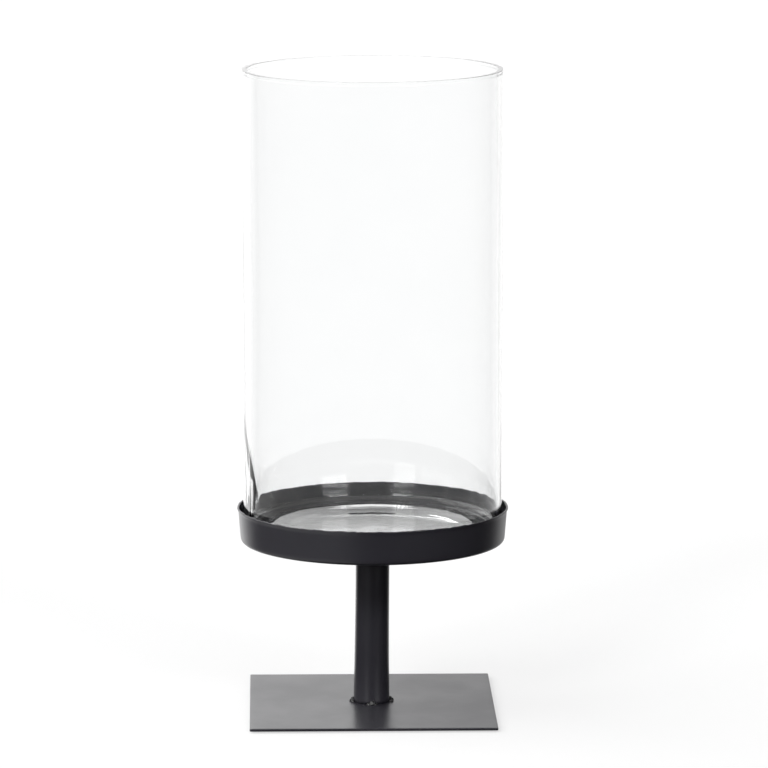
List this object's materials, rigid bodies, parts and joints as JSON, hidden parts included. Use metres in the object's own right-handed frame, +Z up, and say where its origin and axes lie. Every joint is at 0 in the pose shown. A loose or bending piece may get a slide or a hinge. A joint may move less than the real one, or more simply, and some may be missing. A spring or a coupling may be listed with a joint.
{
  "type": "hurricane candle lantern",
  "caption": "Tabletop hurricane lantern: a clear open-topped glass cylinder with a closed bottom stands loose in a round black steel tray on a short tube and a square plate.",
  "frame": {"origin": "on the table, under the common axis of the stem, the tray and the glass", "axes": "+Z up along the common axis; X and Y along the sides of the square plate"},
  "size_m": [0.16, 0.16, 0.3783],
  "materials": {
    "clear_glass": "clear soda-lime glass, fire-polished lip, faint vertical draw lines",
    "black_coat": "satin black powder coat with a fine texture",
    "pad_foam": "matt black foam rubber"
  },
  "bodies": {
    "stand": {"base_plate": "black_coat", "stem_tube": "black_coat", "tray": "black_coat", "foot_tack_weld_1": "black_coat", "foot_tack_weld_2": "black_coat", "foot_tack_weld_3": "black_coat", "foot_tack_weld_4": "black_coat", "head_tack_weld_1": "black_coat", "head_tack_weld_2": "black_coat", "head_tack_weld_3": "black_coat", "head_tack_weld_4": "black_coat", "foot_pad_1": "pad_foam", "foot_pad_2": "pad_foam", "foot_pad_3": "pad_foam", "foot_pad_4": "pad_foam"},
    "glass": {"glass_cylinder": "clear_glass"}
  },
  "joints": [
    {"name": "glass_lift", "type": "slide", "parent": "stand", "child": "glass", "axis": [0, 0, 1], "range_m": [0, 0.05]}
  ]
}
